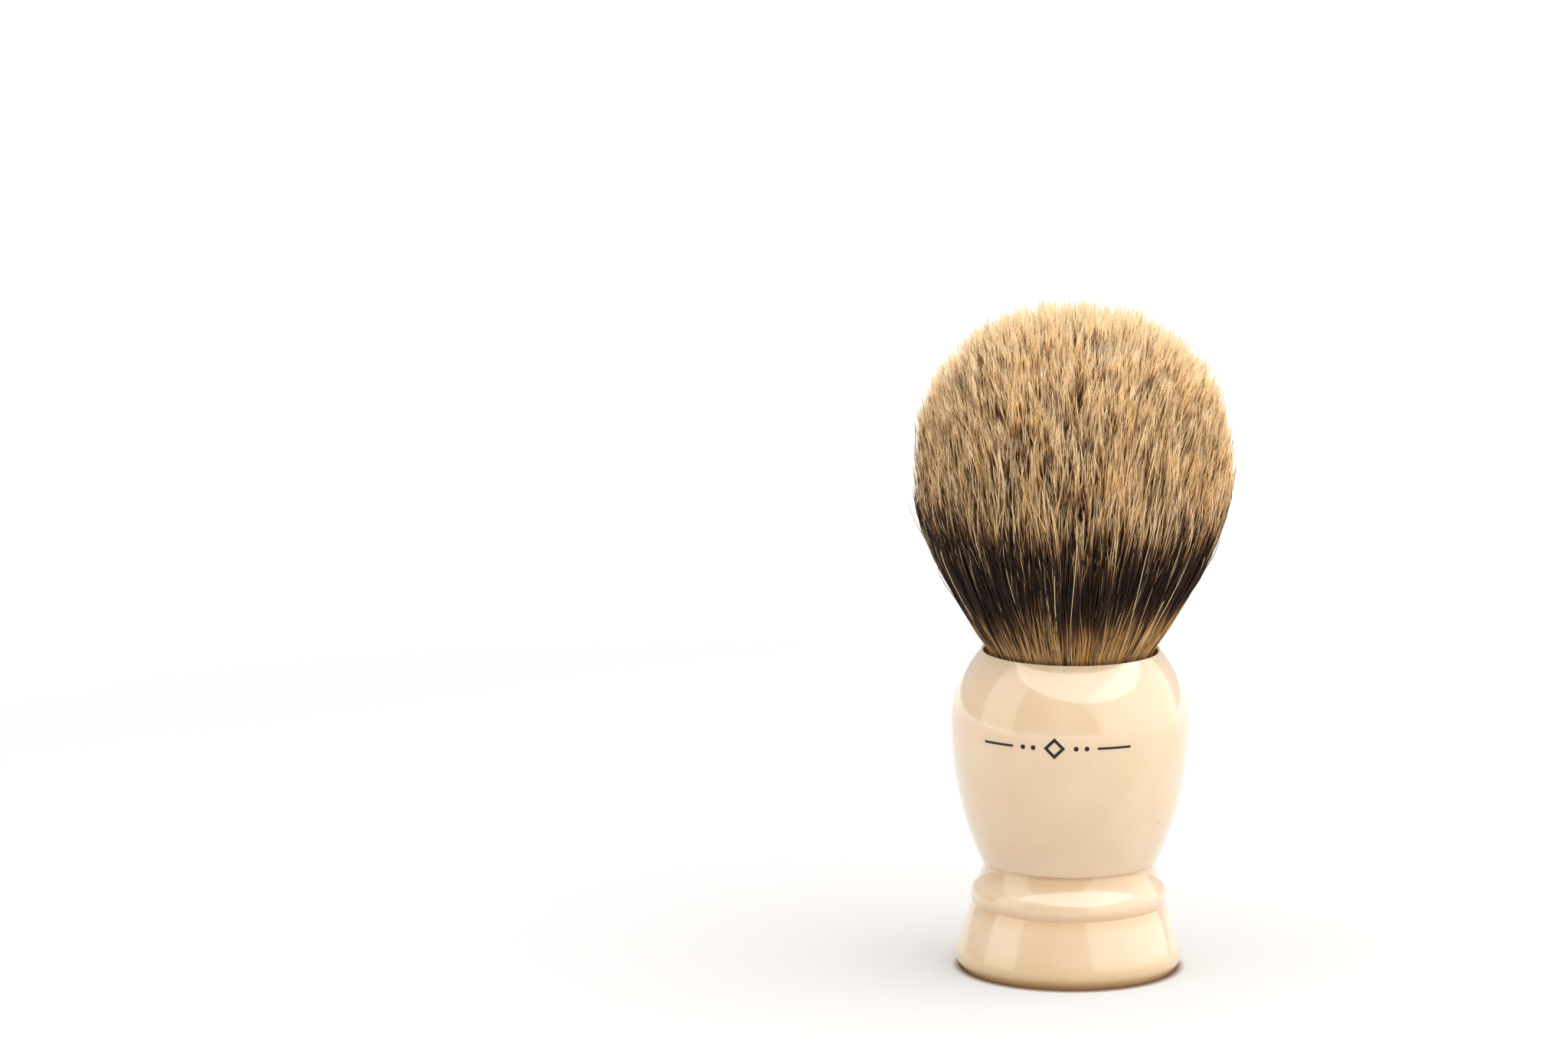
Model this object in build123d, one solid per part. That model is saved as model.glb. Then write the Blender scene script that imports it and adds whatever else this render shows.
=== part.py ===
"""Shaving brush: a turned resin handle with a knot of badger hair bonded into its socket.

Units are millimetres. +Z is the brush's own axis, from the foot to the tips of the hair, and
-Y is its front, where the ornament is. The origin is the centre of the foot's standing face.
"""

import os
from math import cos, degrees, radians, sin

from build123d import *

# Handle, from the foot upwards: each height is one stretch of the turned outline.
FOOT_HEIGHT = 9.7
BEAD_HEIGHT = 2.8
COVE_HEIGHT = 3.9
BODY_HEIGHT = 31.7
SHOULDER_HEIGHT = 11.1  # the stretch of the body above its widest ring

CONTACT_RADIUS = 16.2
BAND_RADIUS = 16.75
BAND_HEIGHT = 3.1  # of the rounded band round the bottom of the foot
BAND_ROUND = 0.4
FLARE_ROUND = 0.08
GROOVE_RADIUS = 14.5  # between the foot and the bead
BEAD_TOP_RADIUS = 14.3
BEAD_ROUND = 0.38
COVE_RADIUS = 12.75
COVE_HOLLOW = 0.3
BODY_EDGE_RADIUS = 13.3
BODY_EDGE_DROP = 0.35
BODY_EDGE_ROUND = 0.12
BODY_RADIUS = 17.8
LIP_WIDTH = 0.35
LIP_ROUND = 0.12

# A shallow dish is turned under the foot, so that the brush stands on the rim round it.
DISH_RADIUS = 12.0
DISH_DEPTH = 0.5

# The blind socket in the top of the handle, and the butt of the knot that is bonded into it.
SOCKET_RADIUS = 13.0
SOCKET_DEPTH = 14.0
BOND_WALL = 0.4  # adhesive round the plug
BOND_FLOOR = 1.0  # adhesive under the plug
PLUG_HEIGHT = 9.0
PLUG_WALL = 0.8  # resin round the butts of the hair
PLUG_FLOOR = 2.0  # resin under the butts of the hair
THREAD_DIAMETER = 0.5
THREAD_TURNS = 6
THREAD_RISE = 2.0  # from the ends of the butts to the lowest turn

# The hair above the plug.
LOFT = 52.0  # from the mouth of the handle to the crown
MOUTH_CLEARANCE = 0.3  # between the hair and the wall of the socket, at the mouth
BULB_RADIUS = 24.0
CROWN_HEIGHT = 24.0  # from the widest ring of the bulb to the crown
FAN_ANGLE = 29.0  # between the outermost hairs and the axis, in degrees
FLANK_LOWER_PULL = 0.43  # shape of the flank's curve, as shares of its height
FLANK_UPPER_PULL = 0.36
DOME_FULLNESS = 0.57  # a round dome has 0.55, and a squarer one more

# The ornament let into the front of the body: rule, dots, lozenge, dots, rule.
ORNAMENT_DEPTH = 0.15
ORNAMENT_TURN = -10.0  # about the axis, in degrees: the left of the front
ORNAMENT_DROP = 0.4  # below the widest ring of the body
LOZENGE_RADIUS = 1.6
LOZENGE_HOLE_RADIUS = 0.95
DOT_RADIUS = 0.36
DOTS_EACH_SIDE = 2
DOT_SPACING = 1.6
RULE_LENGTH = 5.2
RULE_WIDTH = 0.36

# Heights and radii that follow from the sizes above.
BEAD_TOP = FOOT_HEIGHT + BEAD_HEIGHT
BODY_BOTTOM = BEAD_TOP + COVE_HEIGHT
MOUTH_HEIGHT = BODY_BOTTOM + BODY_HEIGHT
WIDEST_HEIGHT = MOUTH_HEIGHT - SHOULDER_HEIGHT
MOUTH_RADIUS = SOCKET_RADIUS + LIP_WIDTH
SOCKET_FLOOR = MOUTH_HEIGHT - SOCKET_DEPTH
PLUG_BOTTOM = SOCKET_FLOOR + BOND_FLOOR
PLUG_TOP = PLUG_BOTTOM + PLUG_HEIGHT
PLUG_RADIUS = SOCKET_RADIUS - BOND_WALL
BUTT_BOTTOM = PLUG_BOTTOM + PLUG_FLOOR
BUTT_RADIUS = PLUG_RADIUS - PLUG_WALL
THREAD_BOTTOM = BUTT_BOTTOM + THREAD_RISE
CROWN_TOP = MOUTH_HEIGHT + LOFT
BULB_HEIGHT = CROWN_TOP - CROWN_HEIGHT
ORNAMENT_HEIGHT = WIDEST_HEIGHT - ORNAMENT_DROP


def at(radius, height):
    """A point of an outline: outlines are drawn in the XZ plane."""
    return Vector(radius, 0, height)


def straight(*points):
    """Straight edges from each point to the next."""
    return [Edge.make_line(start, end) for start, end in zip(points, points[1:])]


def bow(start, end, depth):
    """An arc that stands out from the line between its ends; a negative depth hollows it."""
    chord = end - start
    outward = Vector(chord.Z, 0, -chord.X).normalized()
    return Edge.make_three_point_arc(start, (start + end) * 0.5 + outward * depth, end)


def turned(edges):
    """The solid that a closed outline makes when it is turned round the brush's axis."""
    return revolve(make_face(Wire(edges)), axis=Axis.Z)


def disc(radius, bottom, top):
    """A plain cylinder on the brush's axis, between two heights."""
    return Pos(0, 0, bottom) * Cylinder(radius, top - bottom, align=(Align.CENTER, Align.CENTER, Align.MIN))


def body_outline(inset=0.0):
    """The body's two arcs, from its bottom edge to the mouth, moved inwards by inset."""
    bottom = at(BODY_EDGE_RADIUS - inset, BODY_BOTTOM)
    widest = at(BODY_RADIUS - inset, WIDEST_HEIGHT)
    mouth = at(MOUTH_RADIUS - inset, MOUTH_HEIGHT)
    belly = Edge.make_tangent_arc(widest, Vector(0, 0, -1), bottom)
    shoulder = Edge.make_tangent_arc(widest, Vector(0, 0, 1), mouth)
    return [belly, shoulder]


def body_barrel(inset):
    """The body's stretch of the handle as a full solid, with its surface moved inwards."""
    lid = straight(at(MOUTH_RADIUS - inset, MOUTH_HEIGHT), at(0, MOUTH_HEIGHT), at(0, BODY_BOTTOM))
    base = straight(at(0, BODY_BOTTOM), at(BODY_EDGE_RADIUS - inset, BODY_BOTTOM))
    return turned(body_outline(inset) + lid + base)


def handle_blank():
    """The turned handle with its socket, before the ornament is cut."""
    contact = at(CONTACT_RADIUS, 0)
    band_top = at(BAND_RADIUS, BAND_HEIGHT)
    groove = at(GROOVE_RADIUS, FOOT_HEIGHT)
    bead_top = at(BEAD_TOP_RADIUS, BEAD_TOP)
    cove_top = at(COVE_RADIUS, BODY_BOTTOM - BODY_EDGE_DROP)
    body_edge = at(BODY_EDGE_RADIUS, BODY_BOTTOM)
    mouth = at(MOUTH_RADIUS, MOUTH_HEIGHT)
    wall_top = at(SOCKET_RADIUS, MOUTH_HEIGHT - LIP_WIDTH)
    dish = [at(0, DISH_DEPTH), at(DISH_RADIUS - DISH_DEPTH, DISH_DEPTH), at(DISH_RADIUS, 0)]
    underside = straight(*dish, contact)
    foot = [bow(contact, band_top, BAND_ROUND), bow(band_top, groove, FLARE_ROUND)]
    waist = [
        bow(groove, bead_top, BEAD_ROUND),
        bow(bead_top, cove_top, -COVE_HOLLOW),
        bow(cove_top, body_edge, BODY_EDGE_ROUND),
    ]
    lip = [bow(mouth, wall_top, LIP_ROUND)]
    socket = straight(wall_top, at(SOCKET_RADIUS, SOCKET_FLOOR), at(0, SOCKET_FLOOR), at(0, DISH_DEPTH))
    return turned(underside + foot + waist + body_outline() + lip + socket)


def round_body(solid, distance):
    """Turns a cutter round the body, by a distance along its surface from the ornament's middle."""
    return Rot(0, 0, ORNAMENT_TURN + degrees(distance / BODY_RADIUS)) * solid


def shape_cutter(sketch):
    """A flat shape pushed out through the front of the body from its axis."""
    front = Plane(origin=(0, 0, ORNAMENT_HEIGHT), x_dir=(1, 0, 0), z_dir=(0, -1, 0))
    return extrude(front * sketch, 2 * BODY_RADIUS)


def rule_cutter():
    """A level band that starts at the front of the body and runs round it."""
    section = Plane.XZ * Pos(BODY_RADIUS, ORNAMENT_HEIGHT) * Rectangle(BODY_RADIUS, RULE_WIDTH)
    band = revolve(section, axis=Axis.Z, revolution_arc=degrees(RULE_LENGTH / BODY_RADIUS))
    return Rot(0, 0, -90) * band


def ornament():
    """The inlays of the ornament, flush with the body: rule, dots, lozenge, dots, rule."""
    diamond = RegularPolygon(LOZENGE_RADIUS, 4) - RegularPolygon(LOZENGE_HOLE_RADIUS, 4)
    cutters = [round_body(shape_cutter(diamond), 0)]
    for side in (-1, 1):
        for count in range(1, DOTS_EACH_SIDE + 1):
            distance = side * (LOZENGE_RADIUS + count * DOT_SPACING)
            cutters.append(round_body(shape_cutter(Circle(DOT_RADIUS)), distance))
    rule_start = LOZENGE_RADIUS + (DOTS_EACH_SIDE + 1) * DOT_SPACING
    cutters.append(round_body(rule_cutter(), rule_start))
    cutters.append(round_body(rule_cutter(), -rule_start - RULE_LENGTH))
    outer = body_barrel(0)
    inner = body_barrel(ORNAMENT_DEPTH)
    return [(cutter & outer) - inner for cutter in cutters]


def adhesive_bed():
    """The adhesive under the plug and round it, filling the socket's clearance."""
    bed = disc(SOCKET_RADIUS, SOCKET_FLOOR, PLUG_TOP)
    return bed - disc(PLUG_RADIUS, PLUG_BOTTOM, PLUG_TOP)


def binding_thread():
    """Turns of thread wound side by side round the butts, as one ridged sleeve."""
    waist = BUTT_RADIUS + THREAD_DIAMETER / 2
    heights = [THREAD_BOTTOM + turn * THREAD_DIAMETER for turn in range(THREAD_TURNS + 1)]
    spans = list(zip(heights, heights[1:]))
    ridges = [bow(at(waist, high), at(waist, low), -THREAD_DIAMETER / 2) for low, high in spans]
    top = straight(at(waist, heights[-1]), at(BUTT_RADIUS, heights[-1]), at(BUTT_RADIUS, heights[0]))
    bottom = straight(at(BUTT_RADIUS, heights[0]), at(waist, heights[0]))
    return turned(ridges + top + bottom)


def knot_plug(thread):
    """The cast resin plug, with the butts of the hair and their binding set into it."""
    block = disc(PLUG_RADIUS, PLUG_BOTTOM, PLUG_TOP)
    return block - disc(BUTT_RADIUS, BUTT_BOTTOM, PLUG_TOP) - thread


def hair_bundle():
    """The whole bundle of hair as one plain bulb, with its butts down in the plug."""
    mouth = at(SOCKET_RADIUS - MOUTH_CLEARANCE, MOUTH_HEIGHT)
    widest = at(BULB_RADIUS, BULB_HEIGHT)
    crown = at(0, CROWN_TOP)
    rise = BULB_HEIGHT - MOUTH_HEIGHT
    fan = radians(FAN_ANGLE)
    lower_pull = at(sin(fan), cos(fan)) * FLANK_LOWER_PULL * rise
    flank = Edge.make_bezier(mouth, mouth + lower_pull, widest - at(0, FLANK_UPPER_PULL * rise), widest)
    upright_pull = at(0, DOME_FULLNESS * CROWN_HEIGHT)
    level_pull = at(DOME_FULLNESS * BULB_RADIUS, 0)
    dome = Edge.make_bezier(widest, widest + upright_pull, crown + level_pull, crown)
    butt = straight(at(0, BUTT_BOTTOM), at(BUTT_RADIUS, BUTT_BOTTOM), at(BUTT_RADIUS, PLUG_TOP), mouth)
    core = straight(crown, at(0, BUTT_BOTTOM))
    return turned(butt + [flank, dome] + core)


def main():
    """Builds every piece and writes each to its own file."""
    inlays = ornament()
    thread = binding_thread()
    pieces = {
        "handle": handle_blank() - inlays,
        "ornament_inlay": Compound([solid for inlay in inlays for solid in inlay.solids()]),
        "adhesive_bed": adhesive_bed(),
        "binding_thread": thread,
        "knot_plug": knot_plug(thread),
        "hair_bundle": hair_bundle(),
    }
    os.makedirs("parts", exist_ok=True)
    for name, piece in pieces.items():
        export_step(piece, f"parts/{name}.step")
        print(name, len(piece.solids()), "solid(s),", round(piece.volume, 1), "mm3")


main()
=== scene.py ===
"""Shaving brush: the finish of its turned resin handle, and every hair of its knot.

Lengths are metres in the frame's own axes: +Z runs from the foot to the crown, and -Y is the front.
"""

from math import cos, pi, radians, sin, sqrt

import bpy
import numpy as np
from mathutils import Euler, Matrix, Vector
from mathutils.kdtree import KDTree


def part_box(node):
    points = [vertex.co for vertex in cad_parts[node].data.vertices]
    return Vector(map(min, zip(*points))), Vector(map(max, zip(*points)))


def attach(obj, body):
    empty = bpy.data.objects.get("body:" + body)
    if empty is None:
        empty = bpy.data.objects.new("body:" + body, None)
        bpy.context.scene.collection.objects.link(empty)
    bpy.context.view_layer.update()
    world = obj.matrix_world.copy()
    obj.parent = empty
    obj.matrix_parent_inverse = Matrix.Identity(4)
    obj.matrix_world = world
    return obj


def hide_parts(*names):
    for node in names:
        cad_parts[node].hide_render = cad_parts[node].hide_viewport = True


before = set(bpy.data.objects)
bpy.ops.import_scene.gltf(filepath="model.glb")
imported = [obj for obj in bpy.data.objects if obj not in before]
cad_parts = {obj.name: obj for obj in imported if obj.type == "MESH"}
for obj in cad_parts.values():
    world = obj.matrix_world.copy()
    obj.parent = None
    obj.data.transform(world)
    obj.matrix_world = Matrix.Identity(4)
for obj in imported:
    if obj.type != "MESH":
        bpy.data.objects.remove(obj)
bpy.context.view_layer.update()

MM = 0.001

# Camera: a long lens, higher than the brush and to its left, looking a little down.
CAMERA_PLACE = (-0.0427, -0.915, 0.2282)
CAMERA_PITCH = 9.98  # degrees below level
LENS_MM = 143.7
SENSOR_MM = 36.0

# Light.
LIGHTS_AIM = (0, 0, 0.045)
SURROUND_LIGHT = (0.41, 0.66)  # from the dim side and from the bright side
BRIGHT_SIDE = (0.42, 0.87, 0.25)  # the way to the middle of the bright side
SIDE_TURN = 0.6  # the surround changes from dim to bright between minus this and this, as a cosine
SURROUND_SEEN = 1.0  # behind the brush

# Paper that the brush stands on.
PAPER_REACH = 12.0
PAPER_COLOUR = (0.60, 0.59, 0.582)
PAPER_GLOW = 0.8
GLOW_DISTANCES = (0.25, 1.00)  # where the glow starts, and where it is full
PAINTED_SHADOW_COLOUR = (0.20, 0.11, 0.065)
PAINTED_SHADOW_MIDDLE = (0, -1.2 * MM, 0)  # painted shadow: the paper is darkest under the foot and just in front of it
PAINTED_SHADOW_RADII = (16.2 * MM, 17.5 * MM)  # fully dark up to the first, and not at all from the second

# Handle.
PAINTED_SHADE_CREASES = (9.5 * MM, 15.2 * MM)  # heights of the hollows under and over the bead: painted shade
CREASE_SHADE_REACH = (0.5 * MM, 1.7 * MM)  # from a crease's height to where its painted shade starts to fade, and ends
FOOT_TINT_HEIGHTS = (2.2 * MM, 4.5 * MM)
SPECK_SPACING = 4.5 * MM
SPECK_SIZES = (0.02, 0.07)  # in spacings: the solid middle, and the edge
SPECK_SHARE = 0.28  # of the places where a speck could be

# Knot of hair. A lock is a bunch of wisps, and a wisp a few hairs that cling together at their tips.
SEED = 26
HAIR_COUNT = 31000
WISP_COUNT = 7800
LOCK_COUNT = 800
STRAY_COUNT = 80
TUFT_COUNT = 14  # pieces that the knot is made in, side by side round the axis
WISP_CLING = 0.68  # how far a hair's tip is drawn towards the middle of its wisp
LOCK_CLING = 0.2  # and a wisp's towards the middle of its lock
HAIR_RINGS = 10
HAIR_SIDES = 3
MAP_COLUMNS = 32
HAIR_THICKNESS = 0.16 * MM
TIP_THICKNESS = 0.055 * MM
TIP_TAPER = 6.5 * MM
TAPER_POWER = 0.8
COARSENESS = (1, 0.18)  # mean and spread, in hair thicknesses
COARSENESS_LIMITS = (0.6, 1.5)
ROOT_GAPS = (0.35 * MM, 0.55 * MM)  # between the outermost hairs' middles and what is round them

# The hairs' course. Places over the knot are in shares of the way out from its axis.
FAN = 29  # degrees from upright of the outermost hairs where they leave the handle
FAN_POWER = 1.1  # above 1, the inner hairs fan out less than evenly
PULL = 0.37  # how far each end's direction carries, in shares of the hair's length
RING_CROWDING = 1.35  # above 1, a hair's rings lie closer together towards its tip
BOW_SCATTER = 0.3 * MM  # sideways, halfway along a hair
FREE_TIP = 6 * MM  # the stretch of a hair that may stand past the CAD outline
TIP_SPREAD = 1.17  # how far down the bulb the tips reach: at 1 they would stop at its widest ring
TIP_SHIFT = 0.1 * MM  # the bulb stands this far to the right of the handle's axis
LOW_TIPS = (0.86, 0.3, 27)  # outwards of this place, this share of tips end lower, by up to these degrees
LOW_SHORTNESS = 0.35  # these end less deep under the outline than the others, by this factor
LEAN_ANGLES = (0, 25, 55, 90, 125)  # degrees round the bulb from the crown
TIP_LEANS = (0, 9, 19, 13, 17)  # degrees from upright of the tips that end there
TIP_RISES = (1.2 * MM, 1.9 * MM, 1.6 * MM, -0.1 * MM, -0.2 * MM)  # of the longest past the CAD outline
PARTING = (0.0, -0.54)  # its middle
PARTING_GAP = (0.03, 0.085)  # half its width and half its length
STRAYS_FROM = 0.75  # outwards of this place
STRAY_BEND = 0.25
STRAY_LEAN = 60  # degrees from upright
STRAY_RISES = (0.5 * MM, 2.2 * MM)  # least and most

# Colours along a hair.
CREAM_LENGTH = 4.0 * MM
SHORT_HAIRS = (15 * MM, 34 * MM)  # a hair that shows by the first has least cream, and by the second full
CREAM_SHARES = (0.25, 1.1)  # least and full
BROWN_LENGTH = 2.6 * MM
LEAST_CREAM = 0.6 * MM
LEAST_BROWN = 0.8 * MM
LEAST_DARK = 1.0 * MM
LEAST_FADE = 1.0 * MM
GOLD_HEIGHT = 4.6 * MM  # of the golden roots that show above the handle
FADE_LENGTH = 4.0 * MM  # from the dark band to the gold
GOLD_WAVES = ((1.0 * MM, 3, 0.8), (0.9 * MM, 7, 2.0))  # each wave's height, waves round the knot, and start
CREAM_TO_RIGHT = 1.0 * MM  # longer cream on the right than in the middle, and shorter on the left
GOLD_TO_RIGHT = 2.2 * MM  # and taller gold
PALE_SHARE = 0.03  # of hairs that are cream all the way down
DARK_ROOT_SHARE = 0.21
DARK_ROOT_BAND = 3.25  # as far towards the root's colour as such a hair goes
DARK_TIP_SHARE = 0.04
DARK_TIP_BAND = 1.65  # and towards the tip's
TONE = 1.03
# painted light: hairs on the right, where the light falls, are made a little lighter
PAINTED_LIGHT_TO_RIGHT = 0.02
TONE_LIMITS = (0.5, 1.25)
GOLDENNESS = 0.4
ROOT_BAND = 5  # the root's place on the scale of colours along a hair, where the tip is at 0

# How unlike hairs are. Each has the spread that a lock's hairs share, a wisp's, and a hair's own.
PLACE_SCATTER = (0.010, 0.006, 0.004)  # of their even spread over the knot
TIP_SCATTER = (0.012, 0.016, 0.004)
LEAN_SCATTER = (0.06, 0.08, 0.10)
RISE_SCATTER = (0.15 * MM, 0.15 * MM, 0.25 * MM)
SHORTNESS = (0.2 * MM, 0.85 * MM, 0.8 * MM)  # how far under the outline tips end
CREAM_SCATTER = (1.6 * MM, 2.7 * MM, 1.5 * MM)
BROWN_SCATTER = (0.3 * MM, 1.0 * MM, 1.4 * MM)
GOLD_SCATTER = (0.8 * MM, 1.4 * MM, 1.6 * MM)
TONE_SCATTER = (0.05, 0.13, 0.07)
GOLDENNESS_SCATTER = (0.1, 0.15, 0.1)


def mix(a, b, share):
    """The value a share of the way from a to b."""
    return a + (b - a) * share


# --- Materials -----------------------------------------------------------------------------------


class Wire:
    """The output of a shader node. Arithmetic on a wire adds the Math nodes that work it out."""

    def __init__(self, finish, socket):
        self.finish = finish
        self.socket = socket

    def maths(self, operation, *values):
        return self.finish.node("ShaderNodeMath", {"operation": operation}, dict(enumerate(values)))

    def __add__(self, other):
        return self.maths("ADD", self, other)

    def __radd__(self, other):
        return self.maths("ADD", other, self)

    def __sub__(self, other):
        return self.maths("SUBTRACT", self, other)

    def __rsub__(self, other):
        return self.maths("SUBTRACT", other, self)

    def __mul__(self, other):
        return self.maths("MULTIPLY", self, other)

    def __truediv__(self, other):
        return self.maths("DIVIDE", self, other)

    def __gt__(self, other):
        return self.maths("GREATER_THAN", self, other)

    def size(self):
        """How far the value is from 0."""
        return self.maths("ABSOLUTE", self)

    def clamped(self):
        return self.maths("MINIMUM", self.maths("MAXIMUM", self, 0.0), 1.0)

    def ramped(self, low, high):
        """0 up to low, 1 from high, and an even rise between them."""
        return ((self - low) / (high - low)).clamped()


class Finish:
    """A material in the making: one surface shader, and the nodes that feed it."""

    def __init__(self, name, **constants):
        self.material = bpy.data.materials.new(name)
        self.material.use_nodes = True
        self.tree = self.material.node_tree
        self.shader = self.tree.nodes["Principled BSDF"]
        for socket, value in constants.items():
            self.set(socket.replace("_", " "), value)

    def node(self, kind, settings=None, inputs=None, output=0):
        """Adds a node: its settings first, then the values or wires of its sockets."""
        made = self.tree.nodes.new(kind)
        for name, value in (settings or {}).items():
            if name == "stops":
                self.set_stops(made.color_ramp, value)
            else:
                setattr(made, name, value)
        for socket, value in (inputs or {}).items():
            self.feed(made.inputs[socket], value)
        return Wire(self, made.outputs[output])

    def set_stops(self, ramp, stops):
        while len(ramp.elements) < len(stops):
            ramp.elements.new(1.0)
        for element, (position, colour) in zip(ramp.elements, stops):
            element.position = position
            element.color = (*colour, 1.0)

    def feed(self, socket, value):
        if isinstance(value, Wire):
            self.tree.links.new(value.socket, socket)
        elif socket.type == "RGBA" and len(value) == 3:
            socket.default_value = (*value, 1.0)
        else:
            socket.default_value = value

    def set(self, socket, value):
        self.feed(self.shader.inputs[socket], value)

    def place(self):
        """Where the surface is, in metres."""
        return self.node("ShaderNodeTexCoord", output="Object")

    def height(self):
        return self.node("ShaderNodeSeparateXYZ", inputs={0: self.place()}, output="Z")

    def noise(self, size, detail=2.0):
        """Soft noise from 0 to 1, with features of about this size in metres."""
        inputs = {"Vector": self.place(), "Scale": 1.0 / size, "Detail": detail}
        return self.node("ShaderNodeTexNoise", inputs=inputs)

    def stored(self, name):
        """A value that is stored on the mesh."""
        return self.node("ShaderNodeAttribute", {"attribute_name": name}, output="Fac")

    def blend(self, share, first, second, how="MIX"):
        """One colour over another, by a share from 0 to 1."""
        settings = {"data_type": "RGBA", "blend_type": how}
        return self.node("ShaderNodeMix", settings, {0: share, 6: first, 7: second}, output=2)

    def bump(self, height, depth):
        """Sets the surface's bumps, of this depth in metres where height goes from 0 to 1."""
        normal = self.node("ShaderNodeBump", inputs={"Height": height, "Distance": depth, "Strength": 1.0})
        self.set("Normal", normal)


def linear(red, green, blue):
    """A colour as the eye grades it, from 0 to 255, as the light values that shaders use."""
    shares = [level / 255 for level in (red, green, blue)]
    return tuple(share / 12.92 if share <= 0.04 else ((share + 0.055) / 1.055) ** 2.4 for share in shares)


def ivory_resin():
    """Polished cream resin: faint clouds, pinhead specks, painted shade in the creases, and a warmer foot."""
    finish = Finish("ivory_resin", IOR=1.52)
    finish.set("Subsurface Weight", 0.35)
    finish.set("Subsurface Radius", (1.0, 0.75, 0.5))
    finish.set("Subsurface Scale", 3 * MM)
    finish.set("Coat Weight", 1.0)
    finish.set("Coat Roughness", 0.045)
    finish.set("Coat IOR", 1.6)
    clouds = finish.noise(9 * MM, detail=3.0)
    colour = finish.blend(clouds.ramped(0.35, 0.65), linear(219, 191, 155), linear(224, 198, 165))
    height = finish.height()
    # Painted shade: warmer, darker resin in the hollows over and under the bead, for the shade there and the
    # light through the resin.
    for crease in PAINTED_SHADE_CREASES:
        crease_shade = 1 - (height - crease).size().ramped(*CREASE_SHADE_REACH)
        colour = finish.blend(crease_shade * 0.38, colour, linear(214, 168, 112))
    foot = 1 - height.ramped(*FOOT_TINT_HEIGHTS)
    colour = finish.blend(foot * 0.55, colour, linear(214, 184, 128))
    grain = finish.noise(0.7 * MM, detail=1.0)
    colour = finish.blend((grain - 0.5) * 0.08 + 0.04, colour, linear(214, 186, 148))
    cells = {"Vector": finish.place(), "Scale": 1 / SPECK_SPACING}
    from_middle = finish.node("ShaderNodeTexVoronoi", inputs=cells)
    pick = finish.node("ShaderNodeTexVoronoi", inputs=cells, output="Color")
    speck = (1 - from_middle.ramped(*SPECK_SIZES)) * (pick > 1 - SPECK_SHARE)
    colour = finish.blend(speck * 0.4, colour, linear(150, 128, 100))
    finish.set("Base Color", colour)
    finish.set("Roughness", 0.13 + clouds * 0.06)
    finish.bump(finish.noise(3 * MM, detail=2.0), 0.012 * MM)
    return finish.material


def inlay_ink():
    """Near-black ink, a little uneven where it was wiped flush."""
    finish = Finish("inlay_ink", Specular_IOR_Level=0.3)
    patches = finish.noise(0.5 * MM)
    finish.set("Base Color", finish.blend(patches.ramped(0.3, 0.7), linear(18, 12, 10), linear(44, 34, 29)))
    finish.set("Roughness", 0.32 + patches * 0.2)
    return finish.material


def cured_adhesive():
    """Amber adhesive with small bubbles."""
    finish = Finish("cured_adhesive")
    bubbles = finish.noise(0.8 * MM, detail=1.0).ramped(0.6, 0.7)
    finish.set("Base Color", finish.blend(bubbles, linear(204, 176, 112), linear(228, 210, 164)))
    finish.set("Roughness", 0.2 + bubbles * 0.3)
    return finish.material


def plug_resin():
    """Brown cast resin, darker where it has soaked in between the hairs."""
    finish = Finish("plug_resin")
    soaked = finish.noise(1.5 * MM, detail=3.0)
    finish.set("Base Color", finish.blend(soaked, linear(150, 108, 58), linear(196, 156, 96)))
    finish.set("Roughness", 0.25 + soaked * 0.2)
    return finish.material


def waxed_thread():
    """Pale waxed thread with its twist."""
    finish = Finish("waxed_thread")
    slanting = {"bands_direction": "DIAGONAL"}
    twist = finish.node("ShaderNodeTexWave", slanting, {"Vector": finish.place(), "Scale": 900.0})
    finish.set("Base Color", finish.blend(twist, linear(186, 174, 148), linear(224, 214, 190)))
    finish.set("Roughness", 0.5 + twist * 0.15)
    finish.bump(twist, 0.04 * MM)
    return finish.material


def badger_hair():
    """Hair that is cream at the tip, brown and then near-black in its band, and golden at the root.

    The stored band runs evenly from 0 at the tip, over 1 where the cream ends, 2 and 3 at the ends of
    the dark stretch and 4 where the gold begins, to 5 at the root. Hairs differ in how deep their colour
    is and in how golden they are, and painted light makes the hairs on the right a little lighter.
    """
    finish = Finish("badger_hair", Specular_IOR_Level=0.3)
    # Each hair's own depth of colour, with painted light that makes the hairs on the right a little lighter.
    tone = finish.stored("tone")
    gold = finish.stored("gold")
    bands = [
        (0.0, linear(242, 219, 181)),
        (0.7, linear(255, 234, 196)),
        (1.0, linear(240, 209, 168)),
        (1.5, linear(150, 110, 72)),
        (2.0, linear(70, 45, 31)),
        (2.3, linear(43, 26, 19)),
        (3.0, linear(52, 34, 23)),
        (3.5, linear(126, 92, 60)),
        (4.0, linear(212, 178, 128)),
        (5.0, linear(214, 184, 142)),
    ]
    stops = [(place / ROOT_BAND, colour) for place, colour in bands]
    colour = finish.node("ShaderNodeValToRGB", {"stops": stops}, {"Fac": finish.stored("band") / ROOT_BAND})
    colour = finish.blend(gold, colour, linear(246, 214, 152), "MULTIPLY")
    tone_and_light_colour = finish.node("ShaderNodeCombineColor", inputs={0: tone, 1: tone, 2: tone})
    finish.set("Base Color", finish.blend(1.0, colour, tone_and_light_colour, "MULTIPLY"))
    finish.set("Roughness", 0.36 + tone * 0.12)
    return finish.material


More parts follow.
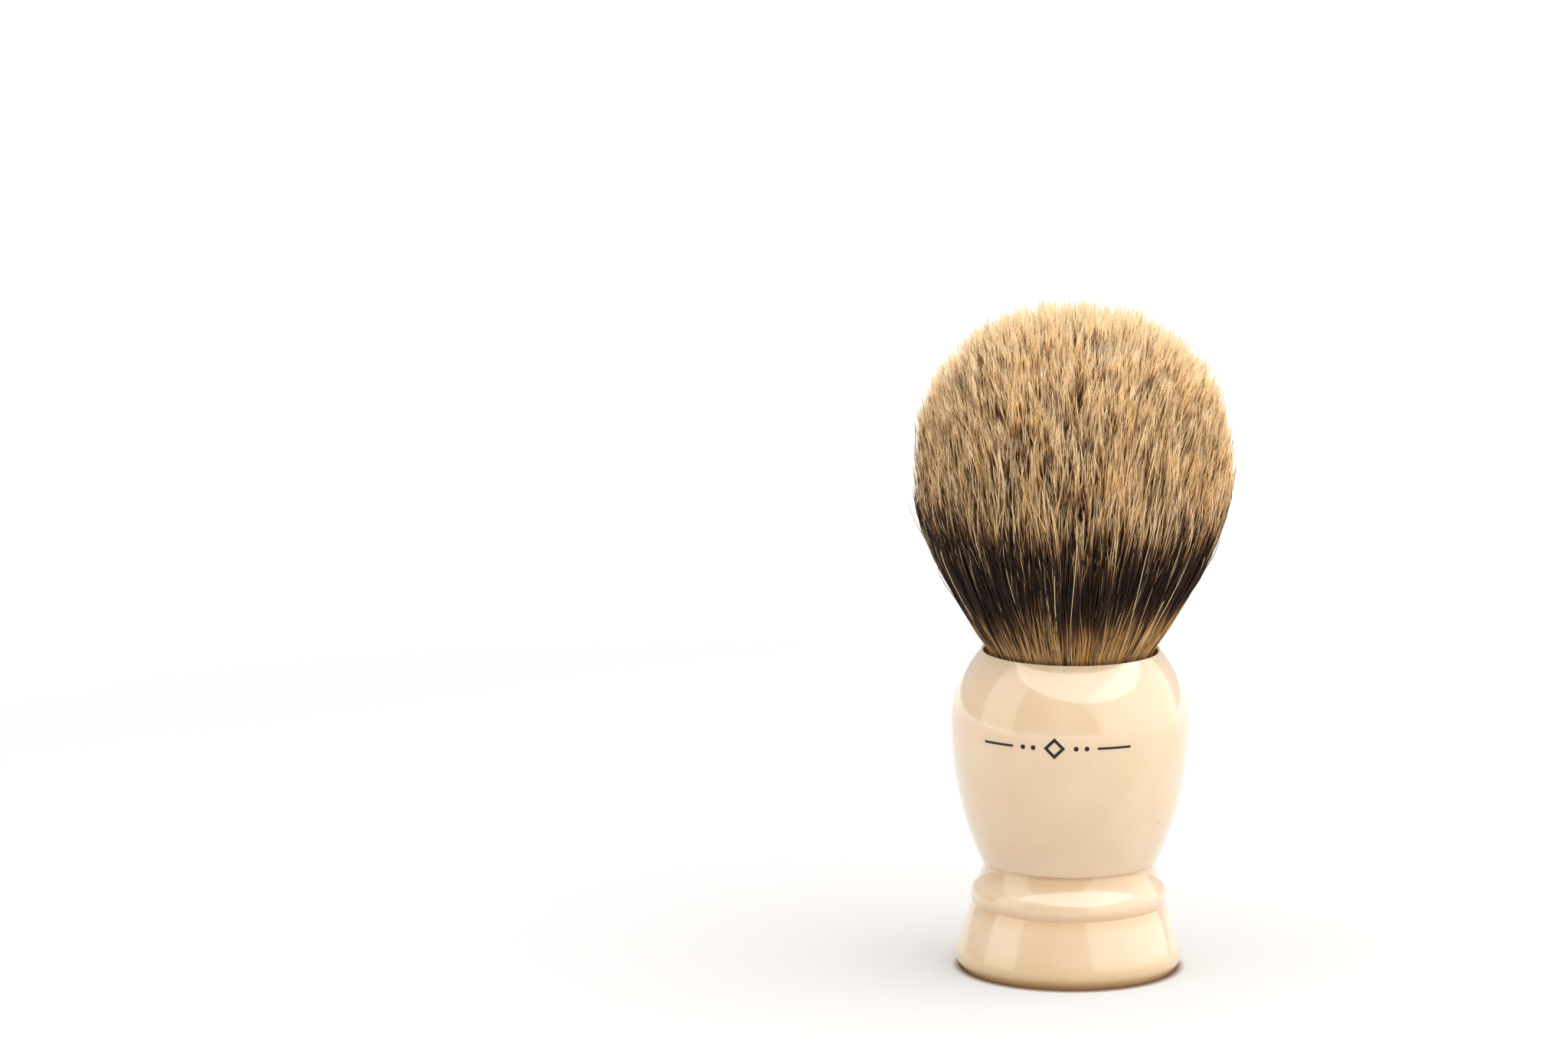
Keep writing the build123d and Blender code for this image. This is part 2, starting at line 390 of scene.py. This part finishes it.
def pale_paper():
    """The studio's paper: a painted shadow where the foot meets it, and glowing by itself further out."""
    finish = Finish("pale_paper", Roughness=0.9, Specular_IOR_Level=0.1)
    # Painted shadow: the paper is painted dark under the foot and just in front of it.
    to_painted_shadow = finish.node("ShaderNodeVectorMath", {"operation": "DISTANCE"},
                           {0: finish.place(), 1: PAINTED_SHADOW_MIDDLE}, output="Value")
    finish.set("Base Color", finish.blend(to_painted_shadow.ramped(*PAINTED_SHADOW_RADII), PAINTED_SHADOW_COLOUR, PAPER_COLOUR))
    away = finish.node("ShaderNodeVectorMath", {"operation": "LENGTH"}, {0: finish.place()}, output="Value")
    glow = away.ramped(*GLOW_DISTANCES)
    finish.set("Emission Color", finish.blend(glow, (0.0, 0.0, 0.0), (1.0, 1.0, 1.0)))
    finish.set("Emission Strength", PAPER_GLOW)
    return finish.material


# --- The knot ------------------------------------------------------------------------------------


def knot_outline():
    """The bulb's outline above the handle: angles round it from the crown, and distances from its middle."""
    points = np.array([vertex.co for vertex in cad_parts["hair_bundle"].data.vertices])
    out = np.hypot(points[:, 0], points[:, 1])
    middle = points[np.argmax(out), 2]
    above = points[:, 2] >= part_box("handle")[1].z
    angle = np.arctan2(out, points[:, 2] - middle)[above]
    reach = np.hypot(out, points[:, 2] - middle)[above]
    order = np.argsort(angle)
    return middle, angle[order], reach[order]


def spread_evenly(count):
    """Places spread evenly over a disc of radius 1, one to a row."""
    number = np.arange(count)
    out = np.sqrt((number + 0.5) / count)
    side = number * pi * (3 - sqrt(5))
    return np.stack([out * np.cos(side), out * np.sin(side)], 1)


def nearest(places, middles):
    """Which of the middles each place is nearest to."""
    tree = KDTree(len(middles))
    for number, (x, y) in enumerate(middles):
        tree.insert((x, y, 0), number)
    tree.balance()
    return np.array([tree.find((x, y, 0))[1] for x, y in places])


def open_parting(tips):
    """Moves the tips beside the parting away from its line."""
    across = tips[:, 0] - PARTING[0]
    along = tips[:, 1] - PARTING[1]
    half_width, half_length = PARTING_GAP
    gap = half_width * np.exp(-((along / half_length) ** 2))
    moved = tips.copy()
    moved[:, 0] = PARTING[0] + np.where(across < 0, -1, 1) * np.sqrt(across**2 + gap**2)
    return moved


def pointing(lean, toward):
    """Upward directions that lean by an angle from upright towards a side."""
    flat = np.sin(lean)
    return np.stack([flat * np.cos(toward), flat * np.sin(toward), np.cos(lean)], 1)


def upright_ring(places, radius, height):
    """Places over a unit disc, taken to a disc of this radius at this height."""
    return np.column_stack([places * radius, np.full(len(places), height)])


def bowed(start, start_pull, tip, tip_pull, steps):
    """Points along the curve from each start to its tip, one hair to a row."""
    t = steps[None, :, None]
    s = 1 - t
    first = 3 * s * s * t * (start + start_pull)[:, None]
    second = 3 * s * t * t * (tip - tip_pull)[:, None]
    return s**3 * start[:, None] + first + second + t**3 * tip[:, None]


def tuck_in(lines, middle, angles, reaches):
    """Keeps the hairs inside the bulb's outline, all but their last few millimetres."""
    out = np.hypot(lines[:, :, 0], lines[:, :, 1])
    up = lines[:, :, 2] - middle
    over = np.hypot(out, up) - np.interp(np.arctan2(out, up), angles, reaches)
    to_tip = np.linalg.norm(lines - lines[:, -1:], axis=2)
    scale = 1 - np.maximum(over, 0) * np.clip(to_tip / FREE_TIP, 0, 1) / np.maximum(out, MM)
    lines[:, :, :2] *= scale[:, :, None]
    return lines


def comb_hairs(random):
    """The middle line of every hair from its butt at the plug's top to its tip, the side that it grows from,
    and a function that draws a value for every hair."""
    middle, angles, reaches = knot_outline()
    count = HAIR_COUNT
    of_locks, of_wisps, of_hairs = PLACE_SCATTER
    roots = spread_evenly(count) + random.normal(0, of_hairs, (count, 2))
    roots /= np.maximum(1, np.linalg.norm(roots, axis=1, keepdims=True))
    locks = spread_evenly(LOCK_COUNT) + random.normal(0, of_locks, (LOCK_COUNT, 2))
    wisps = spread_evenly(WISP_COUNT) + random.normal(0, of_wisps, (WISP_COUNT, 2))
    lock_of_wisp = nearest(wisps, locks)
    wisp = nearest(roots, wisps)
    lock = lock_of_wisp[wisp]

    def varied(lock_spread, wisp_spread, hair_spread, size=()):
        """A draw for every hair: one part shared by its lock, one by its wisp, and one its own."""
        shared = random.normal(0, lock_spread, (LOCK_COUNT, *size))[lock]
        close = random.normal(0, wisp_spread, (WISP_COUNT, *size))[wisp]
        return shared + close + random.normal(0, hair_spread, (count, *size))

    gathered = mix(wisps, locks[lock_of_wisp], LOCK_CLING)
    tips = mix(roots, gathered[wisp], WISP_CLING) + varied(*TIP_SCATTER, size=(2,))
    tips = open_parting(tips)
    share = np.minimum(np.linalg.norm(tips, axis=1), 1)
    side = np.arctan2(tips[:, 1], tips[:, 0])
    angle = np.arccos(1 - TIP_SPREAD * share**2)
    low_from, low_share, low_drop = LOW_TIPS
    low = (share > low_from) & (random.random(count) < low_share)
    angle += np.where(low, radians(low_drop) * random.random(count) ** 2, 0)

    # Most hairs end short of the bulb's outline, and a few stand a little proud of it.
    by_lock, by_wisp, by_hair = SHORTNESS
    short = random.exponential(by_wisp, WISP_COUNT)[wisp] + random.exponential(by_hair, count)
    short += random.exponential(by_lock, LOCK_COUNT)[lock]
    short = np.where(low, LOW_SHORTNESS * short, short)
    proud = varied(*RISE_SCATTER) + np.interp(np.degrees(angle), LEAN_ANGLES, TIP_RISES)
    reach = np.interp(angle, angles, reaches) + proud - short
    tip_out = reach * np.sin(angle)
    tip = np.stack([tip_out * np.cos(side), tip_out * np.sin(side), middle + reach * np.cos(angle)], 1)
    tip[:, 0] += TIP_SHIFT

    mouth_gap, butt_gap = ROOT_GAPS
    mouth = upright_ring(roots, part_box("adhesive_bed")[1].x - mouth_gap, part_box("handle")[1].z)
    butt = upright_ring(roots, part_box("binding_thread")[1].x - butt_gap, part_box("knot_plug")[1].z)
    root_share = np.linalg.norm(roots, axis=1)
    root_side = np.arctan2(roots[:, 1], roots[:, 0])
    pull = (np.linalg.norm(tip - mouth, axis=1) * PULL)[:, None]
    start_pull = pointing(radians(FAN) * root_share**FAN_POWER, root_side) * pull
    lean = np.radians(np.interp(np.degrees(angle), LEAN_ANGLES, TIP_LEANS))
    tip_pull = pointing(lean, side)
    tip_pull[:, :2] += varied(*LEAN_SCATTER, size=(2,))
    stray = random.choice(np.flatnonzero(share > STRAYS_FROM), STRAY_COUNT, replace=False)
    outward = pointing(np.full(STRAY_COUNT, radians(STRAY_LEAN)), side[stray])
    tip[stray] += outward * random.uniform(*STRAY_RISES, (STRAY_COUNT, 1))
    tip_pull[stray] += random.normal(0, STRAY_BEND, (STRAY_COUNT, 3))

    steps = 1 - (1 - np.linspace(0, 1, HAIR_RINGS - 1)) ** RING_CROWDING
    lines = bowed(mouth, start_pull, tip, tip_pull * pull, steps)
    arch = (steps * (1 - steps) * 4)[None, :, None]
    lines[:, :, :2] += random.normal(0, BOW_SCATTER, (count, 1, 2)) * arch * root_share[:, None, None]
    lines = tuck_in(lines, middle, angles, reaches)
    return np.concatenate([butt[:, None], lines], 1), root_side, varied


def tint_hairs(lines, root_side, varied, random):
    """Each hair's distances from its tip, and what its colours are worked out from."""
    count = len(lines)
    runs = np.linalg.norm(np.diff(lines, axis=1), axis=2)
    from_tip = np.concatenate([np.cumsum(runs[:, ::-1], 1)[:, ::-1], np.zeros((count, 1))], 1)
    length = from_tip[:, 1]  # of what shows above the handle
    right = np.cos(root_side)
    none, full = SHORT_HAIRS
    cream_share = np.clip((length - none) / (full - none), *CREAM_SHARES)
    cream = CREAM_LENGTH + CREAM_TO_RIGHT * right + varied(*CREAM_SCATTER)
    cream_end = np.maximum(cream * cream_share, LEAST_CREAM)
    dark_start = cream_end + np.maximum(BROWN_LENGTH + varied(*BROWN_SCATTER), LEAST_BROWN)
    waves = sum(height * np.sin(number * root_side + start) for height, number, start in GOLD_WAVES)
    gold_height = GOLD_HEIGHT + waves + GOLD_TO_RIGHT * right + varied(*GOLD_SCATTER)
    gold_start = np.maximum(length - gold_height, dark_start + LEAST_DARK + LEAST_FADE)
    dark_end = np.maximum(gold_start - FADE_LENGTH, dark_start + LEAST_DARK)
    root_end = np.maximum(from_tip[:, 0], gold_start + MM)
    places = np.stack([np.zeros(count), cream_end, dark_start, dark_end, gold_start, root_end], 1)
    band = np.empty_like(from_tip)
    for hair in range(count):
        band[hair] = np.interp(from_tip[hair], places[hair], range(ROOT_BAND + 1))
    kind = random.random((count, 1))
    pale = kind < PALE_SHARE
    dark_root = ~pale & (kind < PALE_SHARE + DARK_ROOT_SHARE)
    dark_tip = kind > 1 - DARK_TIP_SHARE
    band = np.where(pale, band / ROOT_BAND, band)
    band = np.where(dark_root, np.minimum(band, DARK_ROOT_BAND), band)
    band = np.where(dark_tip, np.maximum(band, DARK_TIP_BAND), band)

    # Each hair's own depth of colour at random, and painted light: a little lighter on the right, where the
    # light falls.
    tone = np.clip(TONE + PAINTED_LIGHT_TO_RIGHT * right + varied(*TONE_SCATTER), *TONE_LIMITS)
    gold = np.clip(GOLDENNESS + varied(*GOLDENNESS_SCATTER), 0, 1)
    return from_tip, {"band": band, "tone": tone[:, None] + 0 * band, "gold": gold[:, None] + 0 * band}


def hair_radius(from_tip, random):
    """Half a hair's thickness: even along the shaft, and drawn out to a fine tip."""
    taper = np.clip(from_tip / TIP_TAPER, 0, 1) ** TAPER_POWER
    coarse = np.clip(random.normal(*COARSENESS, (len(from_tip), 1)), *COARSENESS_LIMITS)
    return mix(TIP_THICKNESS, HAIR_THICKNESS * coarse, taper) / 2


def strand_mesh(name, lines, radius, facts):
    """One mesh of many hairs: each is a fine three-sided tube that closes to a point at its tip."""
    count, rings, _ = lines.shape
    along = np.gradient(lines, axis=1)
    along /= np.linalg.norm(along, axis=2, keepdims=True)
    across = np.cross(along, np.array([0.36, 0.48, 0.8]))
    across /= np.linalg.norm(across, axis=2, keepdims=True)
    third = np.cross(along, across)
    turn = (np.arange(HAIR_SIDES) * 2 * pi / HAIR_SIDES)[:, None]
    ring = across[:, :, None] * np.cos(turn) + third[:, :, None] * np.sin(turn)
    tube = lines[:, :-1, None] + ring[:, :-1] * radius[:, :-1, None, None]
    points = np.concatenate([tube.reshape(count, -1, 3), lines[:, -1:]], 1)
    per_hair = points.shape[1]

    # The faces of one hair, and where their corners lie in its cell of the map.
    side = np.arange(HAIR_SIDES)
    after = (side + 1) % HAIR_SIDES
    level = np.arange(rings - 2)[:, None] * HAIR_SIDES
    quads = np.stack([level + side, level + after, level + HAIR_SIDES + after, level + HAIR_SIDES + side], -1)
    last = (rings - 2) * HAIR_SIDES
    points_in = np.stack([last + side, last + after, np.full(HAIR_SIDES, per_hair - 1)], -1)
    corners = np.concatenate([quads.ravel(), points_in.ravel(), side[::-1]])
    sizes = np.array([4] * quads.shape[0] * HAIR_SIDES + [3] * HAIR_SIDES + [HAIR_SIDES])
    step = np.arange(rings - 2) / (rings - 1)
    quad_u = np.stack([step, step, step + 1 / (rings - 1), step + 1 / (rings - 1)], 1)
    point_u = np.tile([step[-1] + step[1]] * 2 + [1.0], HAIR_SIDES)
    u = np.concatenate([np.repeat(quad_u[:, None], HAIR_SIDES, 1).ravel(), point_u, [0.0, 0.0, 0.5 / rings]])
    quad_v = np.tile([0.0, 1.0, 1.0, 0.0], (rings - 2) * HAIR_SIDES)
    v = np.concatenate([quad_v, np.tile([0.0, 1.0, 0.5], HAIR_SIDES), [1.0, 0.0, 0.5]])

    mesh = bpy.data.meshes.new(name)
    mesh.vertices.add(count * per_hair)
    mesh.vertices.foreach_set("co", points.astype(np.float32).ravel())
    all_corners = (corners[None] + np.arange(count)[:, None] * per_hair).ravel()
    all_sizes = np.tile(sizes, count)
    mesh.loops.add(len(all_corners))
    mesh.loops.foreach_set("vertex_index", all_corners.astype(np.int32))
    mesh.polygons.add(len(all_sizes))
    mesh.polygons.foreach_set("loop_start", (np.cumsum(all_sizes) - all_sizes).astype(np.int32))
    mesh.polygons.foreach_set("use_smooth", np.ones(len(all_sizes), bool))
    for fact, values in facts.items():
        spread = np.concatenate([np.repeat(values[:, :-1], HAIR_SIDES, 1), values[:, -1:]], 1)
        stored = mesh.attributes.new(fact, "FLOAT", "POINT")
        stored.data.foreach_set("value", spread.astype(np.float32).ravel())

    # Every hair has a cell of its own in the map, with a little room round it.
    rows = -(-count // MAP_COLUMNS)
    column = (np.arange(count) % MAP_COLUMNS)[:, None]
    row = (np.arange(count) // MAP_COLUMNS)[:, None]
    cells_u = (column + mix(0.04, 0.96, u)[None]) / MAP_COLUMNS
    cells_v = (row + mix(0.1, 0.9, v)[None]) / rows
    unwrapped = np.stack([cells_u, cells_v], -1).astype(np.float32)
    mesh.uv_layers.new(name="OFBake").data.foreach_set("uv", unwrapped.ravel())
    mesh.update()
    mesh.validate()
    return mesh


def knot():
    """The whole knot, in tufts that stand side by side round the axis."""
    random = np.random.default_rng(SEED)
    lines, root_side, varied = comb_hairs(random)
    from_tip, facts = tint_hairs(lines, root_side, varied, random)
    radius = hair_radius(from_tip, random)
    tuft_of = np.floor((root_side / (2 * pi) % 1) * TUFT_COUNT).astype(int)
    material = badger_hair()
    for tuft in range(TUFT_COUNT):
        mine = tuft_of == tuft
        name = f"hair_tuft_{tuft + 1:02d}"
        my_facts = {fact: values[mine] for fact, values in facts.items()}
        mesh = strand_mesh(name, lines[mine], radius[mine], my_facts)
        mesh.materials.append(material)
        piece = bpy.data.objects.new(name, mesh)
        bpy.context.scene.collection.objects.link(piece)
        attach(piece, "root")
        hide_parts("hair_bundle")


# --- The rest ------------------------------------------------------------------------------------


def dress_handle():
    """Gives the turned and inner pieces their finishes."""
    finishes = {
        "handle": ivory_resin,
        "ornament_inlay": inlay_ink,
        "adhesive_bed": cured_adhesive,
        "knot_plug": plug_resin,
        "binding_thread": waxed_thread,
    }
    for node, finish in finishes.items():
        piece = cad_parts[node]
        piece.data.materials.clear()
        piece.data.materials.append(finish())


def softbox(name, round_from_front, up, distance, shape, size, brightness):
    """A flat lamp that faces the brush. Its place is given by degrees to the right of the front, degrees
    above level, and its distance from the handle's middle."""
    lamp = bpy.data.lights.new(name, "AREA")
    lamp.shape = shape
    lamp.size, lamp.size_y = size
    area = size[0] * size[1] * (pi / 4 if shape == "DISK" else 1)
    lamp.energy = brightness * area * pi
    holder = bpy.data.objects.new(name, lamp)
    turn = radians(round_from_front)
    rise = radians(up)
    away = Vector((sin(turn) * cos(rise), -cos(turn) * cos(rise), sin(rise)))
    holder.location = Vector(LIGHTS_AIM) + away * distance
    holder.rotation_euler = away.to_track_quat("Z", "Y").to_euler()
    bpy.context.scene.collection.objects.link(holder)


def surround():
    """Light from all round, weaker from the front and left.

    The brush gets less of it than the eye sees behind the brush.
    """
    world = bpy.data.worlds.new("surround")
    world.use_nodes = True
    nodes = world.node_tree.nodes
    links = world.node_tree.links
    toward = nodes.new("ShaderNodeTexCoord")
    facing = nodes.new("ShaderNodeVectorMath")
    facing.operation = "DOT_PRODUCT"
    facing.inputs[1].default_value = BRIGHT_SIDE
    links.new(toward.outputs["Generated"], facing.inputs[0])
    light = nodes.new("ShaderNodeMapRange")
    light.inputs["From Min"].default_value = -SIDE_TURN
    light.inputs["From Max"].default_value = SIDE_TURN
    light.inputs["To Min"].default_value = SURROUND_LIGHT[0]
    light.inputs["To Max"].default_value = SURROUND_LIGHT[1]
    links.new(facing.outputs["Value"], light.inputs["Value"])
    path = nodes.new("ShaderNodeLightPath")
    seen = nodes.new("ShaderNodeMix")
    seen.inputs["B"].default_value = SURROUND_SEEN
    links.new(path.outputs["Is Camera Ray"], seen.inputs["Factor"])
    links.new(light.outputs["Result"], seen.inputs["A"])
    background = nodes["Background"]
    background.inputs["Color"].default_value = (1.0, 1.0, 1.0, 1.0)
    links.new(seen.outputs["Result"], background.inputs["Strength"])
    bpy.context.scene.world = world


def studio():
    """Pale paper to stand on, the surround and three softboxes."""
    floor_mesh = bpy.data.meshes.new("floor")
    corners = [(x * PAPER_REACH, y * PAPER_REACH, 0) for x, y in ((-1, -1), (1, -1), (1, 1), (-1, 1))]
    floor_mesh.from_pydata(corners, [], [(0, 1, 2, 3)])
    floor_mesh.materials.append(pale_paper())
    floor = bpy.data.objects.new("floor", floor_mesh)
    bpy.context.scene.collection.objects.link(floor)

    surround()
    softbox("overhead_lamp", 40, 80, distance=0.82, shape="DISK", size=(1.85, 1.85), brightness=2.0)
    softbox("left_softbox", -78, 12, distance=0.75, shape="RECTANGLE", size=(0.52, 1.10), brightness=0.90)
    softbox("right_softbox", 76, 26, distance=0.62, shape="RECTANGLE", size=(1.50, 0.62), brightness=0.95)
    bpy.context.scene.view_settings.view_transform = "Standard"


def camera():
    """The camera in front of the brush."""
    lens = bpy.data.cameras.new("camera")
    lens.lens = LENS_MM
    lens.sensor_width = SENSOR_MM
    lens.clip_start = 0.05
    lens.clip_end = 50.0
    holder = bpy.data.objects.new("camera", lens)
    holder.location = CAMERA_PLACE
    holder.rotation_euler = Euler((radians(90 - CAMERA_PITCH), 0, 0))
    bpy.context.scene.collection.objects.link(holder)
    bpy.context.scene.camera = holder


camera()
studio()
dress_handle()
knot()

bpy.context.view_layer.update()
